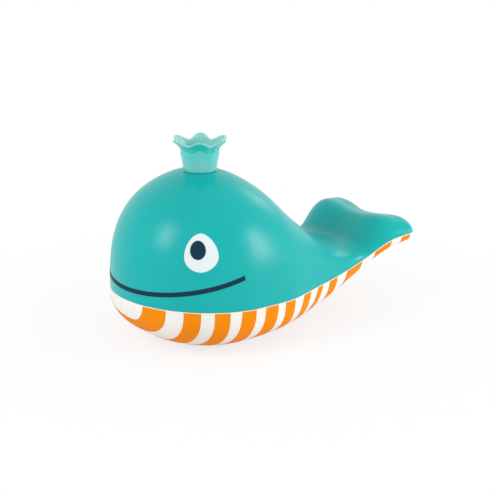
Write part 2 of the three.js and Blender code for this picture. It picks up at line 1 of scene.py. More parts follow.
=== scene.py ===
# Bubble whale, a squeeze foamer for the bath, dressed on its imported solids.
# Sizes are in millimetres here and in metres in the meshes. The nose points to -X, the left side to -Y.
import math

import bpy
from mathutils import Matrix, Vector


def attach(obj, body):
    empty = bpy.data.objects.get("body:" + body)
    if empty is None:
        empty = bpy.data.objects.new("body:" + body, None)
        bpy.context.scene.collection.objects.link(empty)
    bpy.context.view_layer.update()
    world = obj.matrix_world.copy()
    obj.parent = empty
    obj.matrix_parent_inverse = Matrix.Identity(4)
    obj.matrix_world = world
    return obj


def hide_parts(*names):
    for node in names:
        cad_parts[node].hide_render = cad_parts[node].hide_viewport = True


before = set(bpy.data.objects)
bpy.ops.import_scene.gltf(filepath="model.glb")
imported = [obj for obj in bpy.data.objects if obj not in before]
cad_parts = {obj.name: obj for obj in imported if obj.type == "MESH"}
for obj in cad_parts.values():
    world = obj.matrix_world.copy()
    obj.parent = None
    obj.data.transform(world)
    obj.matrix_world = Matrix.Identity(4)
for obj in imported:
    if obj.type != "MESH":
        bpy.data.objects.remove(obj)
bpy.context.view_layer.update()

# Belly tub: the lower half of the clamshell body, moulded in soft white vinyl. Its lip plugs into the upper
# half, two posts key the tail, and a flat foot under the keel lets the whale stand.
MM = 0.001  # a millimetre, in the metres of the scene
HEAD_RADIUS = 53.5  # in plan, and also the reach from the blowhole to the nose
DOME_HEIGHT = 69.3  # above the seam
BELLY_DEPTH = 31.6  # below the seam
SEAM_HEIGHT = 30.3  # above the floor
FULLNESS = 2.9  # of each cross-section: 2 is an ellipse, more is squarer
TAIL_REACH = 131.0  # from the blowhole to the last station
TIP_LENGTH = 7.7  # of the rounded edge behind that station
TIP_HALF = 21.7
TIP_DROP = 0.7
TIP_TURN = 0.487 * math.pi  # a quarter turn would round the edge off to a line
LOBE_PEAK = 4  # brings the top of a tail lobe to the full height of its arch
NOSE_CROWDING = 1.3  # the rings lie closer together towards the nose
SEAM_GAP = 0.3
WALL = 2.4
TAIL_WALL = 1.6
FIT = 0.3
FLOOR_THICKNESS = 3.0
BULKHEAD = 2.0
RESERVOIR_END = 0.64 * TAIL_REACH
POCKET_START = RESERVOIR_END + BULKHEAD
# Shares of the tail's reach (aft, notch), head radius (half width), dome height (crest) and belly depth
STATIONS = (  # aft, half width, crest, keel, rise of the seam, arch of the lobes, notch between them
    (0.0, 1.0, 1.0, 1.0, 0.0, 0.0, 0.0),
    (0.206, 0.953, 0.909, 0.892, -0.063, 0.0, 0.0),
    (0.405, 0.809, 0.563, 0.772, -0.047, 0.0, 0.0),
    (0.611, 0.669, 0.231, 0.551, 0.009, 0.0, 0.0),
    (0.763, 0.617, 0.115, 0.41, 0.149, 0.054, 0.0),
    (0.885, 0.692, 0.144, 0.43, 0.43, 0.117, 0.008),
    (1.0, 0.74, 0.089, 0.36, 0.532, 0.095, 0.038),
)
SHARE_OF = (HEAD_RADIUS, DOME_HEIGHT, BELLY_DEPTH, BELLY_DEPTH, BELLY_DEPTH, TAIL_REACH)
KNOTS = [station[0] * TAIL_REACH for station in STATIONS]
VALUES = [[share * size for share, size in zip(station[1:], SHARE_OF)] for station in STATIONS]


def along_back(x):
    """Half width, crest, keel, seam rise, arch and notch at x mm behind the blowhole, on a smooth curve."""
    slopes = [
        [(b - a) / (KNOTS[i + 1] - KNOTS[i]) for a, b in zip(VALUES[i], VALUES[i + 1])]
        for i in range(len(KNOTS) - 1)
    ]
    level = [0.0] * len(SHARE_OF)
    tangents = [level]
    tangents += [[(a + b) / 2 for a, b in zip(*pair)] for pair in zip(slopes, slopes[1:])]
    tangents.append(slopes[-1])
    i = max(k for k in range(len(slopes)) if x >= KNOTS[k])
    gap = KNOTS[i + 1] - KNOTS[i]
    t = (x - KNOTS[i]) / gap
    return [
        (2 * t**3 - 3 * t**2 + 1) * a
        + (t**3 - 2 * t**2 + t) * gap * slope_a
        + (3 * t**2 - 2 * t**3) * b
        + (t**3 - t**2) * gap * slope_b
        for a, slope_a, b, slope_b in zip(VALUES[i], tangents[i], VALUES[i + 1], tangents[i + 1])
    ]


def clamp(share):
    """A share held between 0 and 1."""
    return min(1.0, max(0.0, share))


def ease(share):
    """A share from 0 to 1 that starts and ends gently."""
    return share * share * (3 - 2 * share)


def section_at(x, inset=0.0):
    """Half width, crest, keel, seam height, arch and notch of the body's cross-section at x."""
    if x < 0:
        radius = HEAD_RADIUS - inset
        shrink = math.sqrt(max(0.0, 1 - (x / radius) ** 2))
        crest = (DOME_HEIGHT - inset) * shrink ** (2 / FULLNESS)
        return radius * shrink, crest, (BELLY_DEPTH - inset) * shrink, SEAM_HEIGHT, 0.0, 0.0
    half, crest, keel, rise, arch, notch = along_back(min(x, TAIL_REACH))
    past = clamp((x - TAIL_REACH) / TIP_LENGTH)
    roundness = math.sqrt(1 - past**2)
    half = TIP_HALF + (half - TIP_HALF) * roundness - inset
    seam = SEAM_HEIGHT + rise - TIP_DROP * past
    return half, crest * roundness - inset, keel * roundness - inset, seam, arch, notch


def skin_point(x, turn, side, inset=0.0):
    """A point of the section, turned from the left seam over the crest (side 1), along the parting face (0)
    or over the keel (-1) to the right seam."""
    half, crest, keel, seam, arch, notch = section_at(x, inset)
    reach = max(0.0, math.sin(turn)) ** FULLNESS
    across = -math.copysign(math.sqrt(max(0.0, 1 - reach)), math.cos(turn))
    inner = 1 - across**2
    height = {1: crest, -1: -keel, 0: 0.0}[side] * inner ** (1 / FULLNESS)
    lobe = LOBE_PEAK * arch * inner * across**2
    return Vector((x - notch * inner**2, half * across, seam + height + lobe))


def spread(start, end, count):
    """Values from start to end in that many equal steps."""
    return [start + (end - start) * i / count for i in range(count + 1)]


def body_ring(x, over, over_count, under, under_count, inset=0.0, drop=0.0):
    """A closed ring of the body, from left to right over one face and back over the other."""
    out = [skin_point(x, turn, over, inset) for turn in spread(0, math.pi, over_count)]
    back = [skin_point(x, turn, under, inset) for turn in spread(math.pi, 0, under_count)[1:-1]]
    return [point - Vector((0, 0, drop)) for point in out + back]


def nose_stations(inset, count):
    """Places of the rings from the nose back to the blowhole."""
    turns = [math.pi / 2 * share**NOSE_CROWDING for share in spread(0, 1, count)]
    return [(inset - HEAD_RADIUS) * math.cos(turn) for turn in turns]


def pick(piece):
    """Selects a piece alone."""
    bpy.ops.object.select_all(action="DESELECT")
    piece.select_set(True)
    bpy.context.view_layer.objects.active = piece


def edit(piece):
    """Opens a piece in edit mode with all of it selected."""
    pick(piece)
    bpy.ops.object.mode_set(mode="EDIT")
    bpy.ops.mesh.select_all(action="SELECT")


def loft(name, rings):
    """Lays a grid through closed rings of points, welds it and closes its open ends."""
    rows, columns = len(rings), len(rings[0])
    bpy.ops.object.select_all(action="DESELECT")
    bpy.ops.mesh.primitive_grid_add(x_subdivisions=rows - 1, y_subdivisions=columns, size=1)
    piece = bpy.context.object
    piece.name = piece.data.name = name
    for vertex in piece.data.vertices:
        row = round((vertex.co.x + 0.5) * (rows - 1))
        column = round((vertex.co.y + 0.5) * columns) % columns
        vertex.co = rings[row][column] * MM
    edit(piece)
    bpy.ops.mesh.remove_doubles(threshold=1e-6)
    bpy.ops.mesh.select_all(action="SELECT")
    bpy.ops.mesh.fill_holes(sides=0)
    bpy.ops.mesh.select_all(action="SELECT")
    bpy.ops.mesh.normals_make_consistent(inside=False)
    bpy.ops.object.mode_set(mode="OBJECT")
    return piece


def combine(piece, tool, operation):
    """Cuts a piece with a tool or joins them, and takes the tool away."""
    bpy.context.view_layer.objects.active = piece
    modifier = piece.modifiers.new("Combine", "BOOLEAN")
    modifier.operation = operation
    modifier.object = tool
    modifier.solver = "EXACT"
    bpy.ops.object.modifier_apply(modifier=modifier.name)
    bpy.data.objects.remove(tool)


def bisect(piece, height):
    """Cuts away everything below a height and closes the cut."""
    edit(piece)
    bpy.ops.mesh.bisect(
        plane_co=(0, 0, height * MM), plane_no=(0, 0, 1), use_fill=True, clear_inner=True, threshold=1e-6
    )
    bpy.ops.object.mode_set(mode="OBJECT")


def pin(radius, bottom, top, places=((0.0, 0.0),), segments=64):
    """Round pins standing at the places, as one object."""
    bpy.ops.object.select_all(action="DESELECT")
    pins = []
    for x, y in places:
        bpy.ops.mesh.primitive_cylinder_add(
            vertices=segments,
            radius=radius * MM,
            depth=(top - bottom) * MM,
            location=(x * MM, y * MM, (bottom + top) / 2 * MM),
        )
        pins.append(bpy.context.object)
    for made in pins:
        made.select_set(True)
    bpy.ops.object.join()
    bpy.ops.object.transform_apply(location=True, rotation=True, scale=True)
    return bpy.context.object


def smooth(piece, degrees=35):
    """Smooth shading, with the edges that turn more than that left crisp."""
    pick(piece)
    bpy.ops.object.shade_smooth_by_angle(angle=math.radians(degrees))


SEAM_TILT = 0.048  # the parting line of the head climbs by this share towards the nose
TILT_PIVOT = -22.0  # where it keeps its height
TILT_END = 27.0
FADE_UP = 6.5  # the walls follow it less and less, as far as this above it
FADE_DOWN = 15.0


def tilt_seam(piece):
    """Tilts the parting line of the head, with the walls just above and below it."""
    for vertex in piece.data.vertices:
        x, _, z = vertex.co / MM
        rise = SEAM_TILT * (TILT_PIVOT - min(x, 0.0)) * (1 - ease(clamp(x / TILT_END)))
        above = z - SEAM_HEIGHT
        fade = clamp(1 - abs(above) / (FADE_UP if above > 0 else FADE_DOWN))
        vertex.co.z += rise * fade * MM


def half_blank(name, over, drop):
    """The upper (over 1) or lower half (-1) of the body, before it is hollowed."""
    tip = [TAIL_REACH + TIP_LENGTH * math.sin(turn) for turn in spread(0, TIP_TURN, 9)]
    stations = nose_stations(0.0, 40) + spread(0, TAIL_REACH, 84)[1:] + tip[1:]
    return loft(name, [body_ring(x, over, 72, 0, 12, drop=drop) for x in stations])


def reservoir(drop):
    """The hollow of both halves, as far as the bulkhead."""
    stations = nose_stations(WALL, 28) + spread(0, RESERVOIR_END, 44)[1:]
    return loft("reservoir", [body_ring(x, 1, 36, -1, 36, WALL, drop) for x in stations])


def tail_pocket(drop):
    """The hollow of the tail, behind the bulkhead."""
    stations = spread(POCKET_START, TAIL_REACH, 28)
    return loft("tail_pocket", [body_ring(x, 1, 28, -1, 28, TAIL_WALL, drop) for x in stations])


def head_point(turn, height, outset=0.0):
    """A point of the round head, turned from the nose towards the right and raised above the seam."""
    share = max(0.0, height) / (DOME_HEIGHT + outset)
    radius = (HEAD_RADIUS + outset) * math.sqrt(1 - share**FULLNESS)
    return Vector((-radius * math.cos(turn), radius * math.sin(turn), SEAM_HEIGHT + height))


def seam_sweep(name, outline):
    """Sweeps an outline of (inset, height above the seam) round the reservoir, along its wall."""

    def flank(share, side):
        points = []
        for inset, height in outline:
            x = (RESERVOIR_END + WALL - inset) * share
            half, crest, _, seam, _, _ = section_at(x, inset)
            half *= math.sqrt(1 - (max(0.0, height) / crest) ** FULLNESS)
            points.append(Vector((x, side * half, seam + height)))
        return points

    rings = [flank(share, -1) for share in spread(1, 0, 40)]
    for turn in spread(-math.pi / 2, math.pi / 2, 96)[1:-1]:
        rings.append([head_point(turn, height, -inset) for inset, height in outline])
    rings += [flank(share, 1) for share in spread(0, 1, 40)]
    return loft(name, rings + rings[:1])


POST_AFT = 0.81 * TAIL_REACH
POST_SIDE = 14.0
POST_RADIUS = 2.2
POST_REACH = 3.0
POSTS = ((POST_AFT, -POST_SIDE), (POST_AFT, POST_SIDE))


def tail_height(x, y, side):
    """Height of the crest (side 1), the parting face (0) or the keel (-1) of the tail over a point."""
    half, crest, keel, seam, arch, _ = section_at(x)
    inner = 1 - (y / half) ** 2
    height = {1: crest, -1: -keel, 0: 0.0}[side] * inner ** (1 / FULLNESS)
    return seam + height + LOBE_PEAK * arch * inner * (1 - inner)


LIP_HEIGHT = 6.0
LIP_ROOT = 4.0
LIP_WALL = 3.2
LIP_EDGE = 0.4
LIP_INSET = WALL + FIT
LIP_INSIDE = LIP_INSET + LIP_WALL
LIP_STEP = -SEAM_GAP - WALL / 2
GROOVE_DEPTH = 1.5
GROOVE_INSET = LIP_INSET + GROOVE_DEPTH
GROOVE_LOW, GROOVE_HIGH = 1.8, 4.6

belly = half_blank("belly_vinyl", -1, SEAM_GAP)
hollow = reservoir(SEAM_GAP)
bisect(hollow, FLOOR_THICKNESS)
combine(belly, hollow, "DIFFERENCE")
combine(belly, tail_pocket(SEAM_GAP), "DIFFERENCE")
post_foot = tail_height(POST_AFT, POST_SIDE, -1) + TAIL_WALL / 2
post_seam = tail_height(POST_AFT, POST_SIDE, 0)
combine(belly, pin(POST_RADIUS, post_foot, post_seam + POST_REACH, POSTS), "UNION")
lip = seam_sweep("lip", (
    (WALL / 2, -LIP_ROOT), (WALL / 2, LIP_STEP), (LIP_INSET, LIP_STEP),
    (LIP_INSET, GROOVE_LOW), (GROOVE_INSET, GROOVE_LOW), (GROOVE_INSET, GROOVE_HIGH),
    (LIP_INSET, GROOVE_HIGH), (LIP_INSET, LIP_HEIGHT - LIP_EDGE), (LIP_INSET + LIP_EDGE, LIP_HEIGHT),
    (LIP_INSIDE - LIP_EDGE, LIP_HEIGHT), (LIP_INSIDE, LIP_HEIGHT - LIP_EDGE), (LIP_INSIDE, -LIP_ROOT),
))
combine(belly, lip, "UNION")
bisect(belly, 0.0)
tilt_seam(belly)
smooth(belly)


def linear(hex_colour):
    """Linear RGBA of an sRGB hex colour."""
    shares = [int(hex_colour[i : i + 2], 16) / 255 for i in (1, 3, 5)]
    return [c / 12.92 if c <= 0.04045 else ((c + 0.055) / 1.055) ** 2.4 for c in shares] + [1.0]


def node(material, kind, inputs, **settings):
    """Adds a node. An input that is another node's socket is linked, and any other one is set."""
    made = material.node_tree.nodes.new("ShaderNode" + kind)
    for name, value in settings.items():
        setattr(made, name, value)
    for name, value in inputs.items():
        if isinstance(value, bpy.types.NodeSocket):
            material.node_tree.links.new(value, made.inputs[name])
        else:
            made.inputs[name].default_value = value
    return made


def new_material(name):
    """A material with nothing but its output, and the Object coordinates that its patterns read."""
    material = bpy.data.materials.new(name)
    material.use_nodes = True
    material.node_tree.nodes.clear()
    place = node(material, "TexCoord", {}).outputs["Object"]
    return material, place


def soft_vinyl(name, colour, deeper, roughness):
    """Soft PVC from a rotating mould: an even satin skin with a faint orange peel of about 1.5 mm, and
    thicker and thinner places, some 40 mm across, that show as a slight drift of the colour."""
    material, place = new_material(name)
    drift = node(material, "TexNoise", {"Vector": place, "Scale": 1 / (40 * MM), "Detail": 2.0})
    peel = node(material, "TexNoise", {"Vector": place, "Scale": 1 / (1.5 * MM), "Detail": 1.0})
    tint = node(material, "MixRGB", {
        "Fac": drift.outputs["Fac"], "Color1": linear(colour), "Color2": linear(deeper),
    })
    gloss = node(material, "MapRange", {
        "Value": peel.outputs["Fac"], "To Min": roughness - 0.03, "To Max": roughness + 0.03,
    })
    bump = node(material, "Bump", {
        "Height": peel.outputs["Fac"], "Strength": 0.25, "Distance": 0.03 * MM,
    })
    skin = node(material, "BsdfPrincipled", {
        "Base Color": tint.outputs["Color"], "Roughness": gloss.outputs["Result"],
        "Normal": bump.outputs["Normal"], "IOR": 1.53, "Specular IOR Level": 0.2,
    })
    node(material, "OutputMaterial", {"Surface": skin.outputs["BSDF"]})
    return material


def dress(piece, material, body, slot, *nodes):
    """Gives a piece its material and its body, and hides the nodes that it stands for. The slot is not used.
    """
    piece.data.materials.clear()
    piece.data.materials.append(material)
    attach(piece, body)
    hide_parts(*nodes)


white_vinyl = soft_vinyl("soft_vinyl_white", "#EFEEE9", "#EAE9E3", 0.4)
dress(belly, white_vinyl, "belly", "belly_white", "belly_tub")

# Body seal: a flat silicone band in the groove of the lip, which wipes the inside of the upper half.
# It is moulded as a closed ring with softly rounded corners.
SEAL_SLACK = 0.2
SEAL_OUTER = WALL + SEAL_SLACK
SEAL_INNER = GROOVE_INSET - FIT
SEAL_LOW, SEAL_HIGH = GROOVE_LOW + FIT, GROOVE_HIGH - FIT
SEAL_EDGE = 0.35
seal = seam_sweep("body_seal_silicone", (
    (SEAL_OUTER + SEAL_EDGE, SEAL_LOW), (SEAL_OUTER, SEAL_LOW + SEAL_EDGE),
    (SEAL_OUTER, SEAL_HIGH - SEAL_EDGE), (SEAL_OUTER + SEAL_EDGE, SEAL_HIGH),
    (SEAL_INNER, SEAL_HIGH), (SEAL_INNER, SEAL_LOW),
))
tilt_seam(seal)
smooth(seal, degrees=50)
silicone, place = new_material("silicone_moulded")
# Moulded silicone is milky and dull, with a bloom of fine dust-like grain about 0.8 mm across
grain = node(silicone, "TexNoise", {"Vector": place, "Scale": 1 / (0.8 * MM), "Detail": 2.0})
milky = node(silicone, "MixRGB", {
    "Fac": grain.outputs["Fac"], "Color1": linear("#D9DFDF"), "Color2": linear("#CBD2D3"),
})
rubber = node(silicone, "BsdfPrincipled", {
    "Base Color": milky.outputs["Color"], "Roughness": 0.55, "IOR": 1.41,
    "Subsurface Weight": 0.3, "Subsurface Radius": (2 * MM, 2 * MM, 2 * MM), "Subsurface Scale": 1.0,
})
node(silicone, "OutputMaterial", {"Surface": rubber.outputs["BSDF"]})
dress(seal, silicone, "belly", "silicone", "body_seal")

# Stripes: orange ink sprayed through a mask on both flanks of the belly, from just under the seam to the
# keel or the edge of the foot. Each is a film of ink, a tenth of a millimetre proud of the vinyl.
INK_LOW, INK_HIGH = 0.03, 0.1
STRIPE_TOP = 0.5  # below the seam
BODY_LENGTH = HEAD_RADIUS + TAIL_REACH
MASK_SLIP = 11.0  # the right flank's first stripe starts this far behind the left one's
MATCHED_STRIPES = 6  # and the slip fades out over this many stripes
# Front and back edge under the seam, as shares of the way from the nose to the end of the tail, and how far
# the stripe sweeps aft on its way down to the keel. A sweep aft only starts low on the belly.
STRIPES = (
    (0.01, 0.043, 1.4), (0.078, 0.118, 4.0), (0.154, 0.199, 2.5), (0.238, 0.29, -2.0), (0.328, 0.381, -2.0),
    (0.414, 0.46, -2.0), (0.508, 0.548, -8.0), (0.587, 0.616, -11.0), (0.651, 0.696, -6.0),
    (0.747, 0.824, -8.0), (0.87, 0.928, -3.0), (0.966, 1.0, -3.0),
)
SWEEP_LOW = 6  # the higher this is, the lower it starts


def stripe_turn(x, share):
    """How far round the belly a point of the stripe lies, from its top edge (0) to its bottom (1)."""
    _, _, keel, seam, _, _ = section_at(x)
    top = math.asin(min(0.5, STRIPE_TOP / keel))
    bottom = math.asin(min(1.0, (seam - SEAM_GAP - INK_HIGH) / (keel + INK_HIGH)))
    return top + (bottom - top) * share


def stripe(name, front, back, sweep, side, slip):
    """A film of ink between two lines down the flank, with a line for about every millimetre."""
    rings = []
    for top in spread(front, back, max(4, round(back - front))):
        line = []
        for share in spread(0, 1, 40):
            down = math.sin(stripe_turn(top, share))
            x = top + slip * (1 - down) + sweep * (down**SWEEP_LOW if sweep > 0 else down)
            turn = stripe_turn(x, share)
            line.append((x, turn if side < 0 else math.pi - turn))
        over = [skin_point(x, turn, -1, -INK_HIGH) for x, turn in line]
        under = [skin_point(x, turn, -1, -INK_LOW) for x, turn in reversed(line)]
        rings.append([point - Vector((0, 0, SEAM_GAP)) for point in over + under])
    return loft(name, rings)


def print_ink(name, colour, deeper, roughness):
    """Printing ink on vinyl: an even coat a little duller than the skin, with the fine grain of the spray,
    about 0.6 mm, and a slight drift in its cover some 15 mm across."""
    material, place = new_material(name)
    grain = node(material, "TexNoise", {"Vector": place, "Scale": 1 / (0.6 * MM), "Detail": 2.0})
    cover = node(material, "TexNoise", {"Vector": place, "Scale": 1 / (15 * MM), "Detail": 1.0})
    tint = node(material, "MixRGB", {
        "Fac": cover.outputs["Fac"], "Color1": linear(colour), "Color2": linear(deeper),
    })
    gloss = node(material, "MapRange", {
        "Value": grain.outputs["Fac"], "To Min": roughness - 0.04, "To Max": roughness + 0.04,
    })
    bump = node(material, "Bump", {
        "Height": grain.outputs["Fac"], "Strength": 0.2, "Distance": 0.02 * MM,
    })
    coat = node(material, "BsdfPrincipled", {
        "Base Color": tint.outputs["Color"], "Roughness": gloss.outputs["Result"],
        "Normal": bump.outputs["Normal"], "IOR": 1.5, "Specular IOR Level": 0.06,
    })
    node(material, "OutputMaterial", {"Surface": coat.outputs["BSDF"]})
    return material


orange_ink = print_ink("spray_ink_orange", "#F28B0A", "#EE8709", 0.55)
for index, (front, back, sweep) in enumerate(STRIPES):
    front_edge = front * BODY_LENGTH - HEAD_RADIUS
    back_edge = back * BODY_LENGTH - HEAD_RADIUS
    right_slip = MASK_SLIP * max(0.0, 1 - index / MATCHED_STRIPES)
    for flank, side, slip in (("left", -1, 0.0), ("right", 1, right_slip)):
        solid_name = f"stripe_{index + 1:02d}_{flank}"
        band = stripe(solid_name + "_ink", front_edge, back_edge, sweep, side, slip)
        tilt_seam(band)
        smooth(band, degrees=50)
        dress(band, orange_ink, "belly", "stripe_orange", solid_name)

# Upper shell: the teal upper half of the body, moulded in the same soft vinyl. It presses over the lip of
# the belly, two sockets take the tail posts, and a neck under the blowhole holds the plug of the crown.
BORE_RADIUS = 8.9
SEAT_RISE = 1.0  # the dome swells by this much to the seat of the crown
SEAT_REACH = 32.0  # and the swelling starts this far out
DOME_AT_BORE = DOME_HEIGHT * (1 - (BORE_RADIUS / HEAD_RADIUS) ** 2) ** (1 / FULLNESS)
BORE_EDGE = SEAM_HEIGHT + DOME_AT_BORE + SEAT_RISE
NECK_RADIUS = 12.3
NECK_LENGTH = 13.1
NECK_END = BORE_EDGE - NECK_LENGTH
SOCKET_RADIUS = 4.3
shell = half_blank("upper_shell_vinyl", 1, 0.0)
for vertex in shell.data.vertices:
    x, y, z = vertex.co / MM
    near = clamp((SEAT_REACH - math.hypot(x, y)) / (SEAT_REACH - BORE_RADIUS))
    if z > SEAM_HEIGHT + DOME_HEIGHT / 2:
        vertex.co.z += SEAT_RISE * ease(near) * MM
combine(shell, reservoir(0.0), "DIFFERENCE")
combine(shell, tail_pocket(0.0), "DIFFERENCE")
combine(shell, pin(NECK_RADIUS, NECK_END, BORE_EDGE - WALL / 2, segments=96), "UNION")
combine(shell, pin(BORE_RADIUS, NECK_END - WALL, BORE_EDGE + WALL, segments=96), "DIFFERENCE")
socket_rim = [
    (POST_AFT + SOCKET_RADIUS * math.cos(turn), POST_SIDE + SOCKET_RADIUS * math.sin(turn))
    for turn in spread(0, 2 * math.pi, 16)
]
socket_roof = min(tail_height(x, y, 1) for x, y in socket_rim) - TAIL_WALL / 2
combine(shell, pin(SOCKET_RADIUS, post_seam, socket_roof, POSTS), "UNION")
hole = pin(POST_RADIUS + FIT, post_seam - POST_REACH, post_seam + POST_REACH + FIT, POSTS)
combine(shell, hole, "DIFFERENCE")
tilt_seam(shell)
smooth(shell)
teal_vinyl = soft_vinyl("soft_vinyl_teal", "#0CAEAB", "#08A9A6", 0.3)
dress(shell, teal_vinyl, "upper", "teal_shell", "upper_shell")

# Face: the eyes, the pupils and the long smile, pad-printed on the round head. The pupils are a second
# print over the white of the eyes.
EYE = {"turn": 54.2, "height": 32.5, "half": 9.7, "up": 12.0, "down": 8.8, "taper": 1.25}
PUPIL = {"turn": 52.0, "height": 35.8, "half": 4.4, "up": 5.1, "down": 5.1, "taper": 1.0}
MOUTH_LOW = 8.2
MOUTH_RISE = 10.4
MOUTH_SWEEP = math.radians(81.8)
MOUTH_WIDTH = 2.7


def eye_print(name, shape, side, low, high):
    """An egg-shaped film on the head, in rings from its middle to its edge and back underneath."""
    turn = math.radians(shape["turn"])
    girth = -head_point(0, shape["height"]).x

    def ring(share, outset):
        points = []
        for angle in spread(0, 2 * math.pi, 72)[:-1]:
            rise = math.sin(angle) * (shape["up"] if math.sin(angle) > 0 else shape["down"])
            reach = math.cos(angle) ** shape["taper"] if math.cos(angle) > 0 else math.cos(angle)
            swing = turn + share * shape["half"] * reach / girth
            points.append(head_point(side * swing, shape["height"] + share * rise, outset))
        return points

    shares = spread(0, 1, 12)
    return loft(name, [ring(s, high) for s in shares] + [ring(s, low) for s in reversed(shares)])


eye_ink = print_ink("pad_ink_eye_white", "#E0EAEB", "#DCE6E8", 0.4)
slate_ink = print_ink("pad_ink_slate", "#1B3849", "#183545", 0.4)
for flank, side in (("left", -1), ("right", 1)):
    white = eye_print(f"eye_{flank}_ink", EYE, side, INK_LOW, INK_HIGH)
    smooth(white, degrees=50)
    dress(white, eye_ink, "upper", "eye_white", f"eye_{flank}")
    dark = eye_print(f"pupil_{flank}_ink", PUPIL, side, INK_HIGH + INK_LOW, 2 * INK_HIGH)
    smooth(dark, degrees=50)
    dress(dark, slate_ink, "upper", "ink", f"pupil_{flank}")


def mouth_ring(share):
    """A section of the smile, square to its line: from -1 at its right end to 1 at its left."""
    girth = -head_point(0, MOUTH_LOW).x
    lean = math.atan(2 * MOUTH_RISE * share / (MOUTH_SWEEP * girth))
    line = []
    for across in spread(-MOUTH_WIDTH / 2, MOUTH_WIDTH / 2, 4):
        turn = share * MOUTH_SWEEP - across * math.sin(lean) / girth
        line.append((turn, MOUTH_LOW + MOUTH_RISE * share**2 + across * math.cos(lean)))
    top = [head_point(turn, height, INK_HIGH) for turn, height in line]
    return top + [head_point(turn, height, INK_LOW) for turn, height in reversed(line)]


mouth = loft("mouth_ink", [mouth_ring(share) for share in spread(-1, 1, 160)])
smooth(mouth, degrees=50)
dress(mouth, slate_ink, "upper", "ink", "mouth_line")

# Crown: the water-spout ruffle, moulded with its plug in a clear-tinted elastomer. A cup widens to a wavy
# ledge, and above it six lobes flare out. The plug below goes into the neck of the blowhole.
CROWN_GAP = 0.05
CROWN_BASE = BORE_EDGE + CROWN_GAP
BASE_RADIUS = 9.7
BASE_ROUND = 0.3
LEDGE_RADIUS = 11.3
LEDGE_HEIGHT = 11.4
RIM_RADIUS = 15.2  # the mean of the lobes and the valleys between them
RIM_HEIGHT = 16.5
LOBES = 6
RIM_WAVE = 1.8  # the lobes reach out this much further than the mean, and the valleys less
RIM_RUFFLE = 1.4  # and they stand this much higher
LEDGE_RUFFLE = 1.2
CROWN_WALL = 1.4
CROWN_TURN = math.radians(-8)
CROWN_LEAN = math.tan(math.radians(2.5))  # of the soft ruffle, to the right and aft
LEAN_WAY = (0.61, 0.79)
THICK_START = 4.5  # the cup's wall thickens from this height up to the ledge
THICK_FADE = 2.0  # and thins out again over this much above it
TIP_START = 0.5  # the tips of the lobes start at this share of the flare
WALL_TINT = 0.5
TIP_TINT = 0.5
CUP_FLOOR = 2.4
FLOOR_ROUND = 0.8
PLUG_RADIUS = 8.6
PLUG_LENGTH = 14.0
PLUG_EDGE = 0.4
RING_LEVEL = -7.0  # of the seal, from the crown's base
RING_ROOM = 0.9  # its groove reaches this far below and above that level
RING_BED = 7.3  # radius at the bottom of that groove
THROAT_RADIUS = 6.4
THROAT_ROOF = 1.5
OUTLET_RADIUS = 5.4
OUTLET_EDGE = 0.4


def spin(name, outline, segments):
    """Turns an outline of (radius, height above the crown's base) about the blowhole's axis."""
    rings = []
    for radius, height in outline + outline[:1]:
        rings.append([
            Vector((radius * math.cos(turn), radius * math.sin(turn), CROWN_BASE + height))
            for turn in spread(0, 2 * math.pi, segments)[:-1]
        ])
    return loft(name, rings)


def bend(start, middle, end, count):
    """Points of a curve from start to end that leans towards middle."""
    return [
        tuple((1 - t) ** 2 * a + 2 * t * (1 - t) * b + t**2 * c for a, b, c in zip(start, middle, end))
        for t in spread(0, 1, count)
    ]


# Points of the cup and the ruffle, as (radius, height above the base), up the outside and down the inside
BASE_TOP = (BASE_RADIUS, 0.4)
CUP_OUTSIDE = (10.4, 5.5)
LEDGE_UNDER = (LEDGE_RADIUS, LEDGE_HEIGHT - 0.3)
LEDGE_NOSE = (LEDGE_RADIUS + 0.1, LEDGE_HEIGHT + 0.4)
FLARE_START = (10.9, LEDGE_HEIGHT + 0.4)
FLARE_OUTSIDE = (12.1, LEDGE_HEIGHT + 2.6)
RIM_OUTSIDE = (RIM_RADIUS, RIM_HEIGHT)
RIM_NOSE = (RIM_RADIUS + 0.3, RIM_HEIGHT + 1.0)
RIM_INSIDE = (RIM_RADIUS - 0.8, RIM_HEIGHT + 0.9)
FLARE_INSIDE = (10.6, LEDGE_HEIGHT + 3.5)
CUP_WAIST = (9.5, LEDGE_HEIGHT)
CUP_INSIDE = (8.9, 5.5)
CUP_CORNER = (BASE_RADIUS - CROWN_WALL, CUP_FLOOR + FLOOR_ROUND)
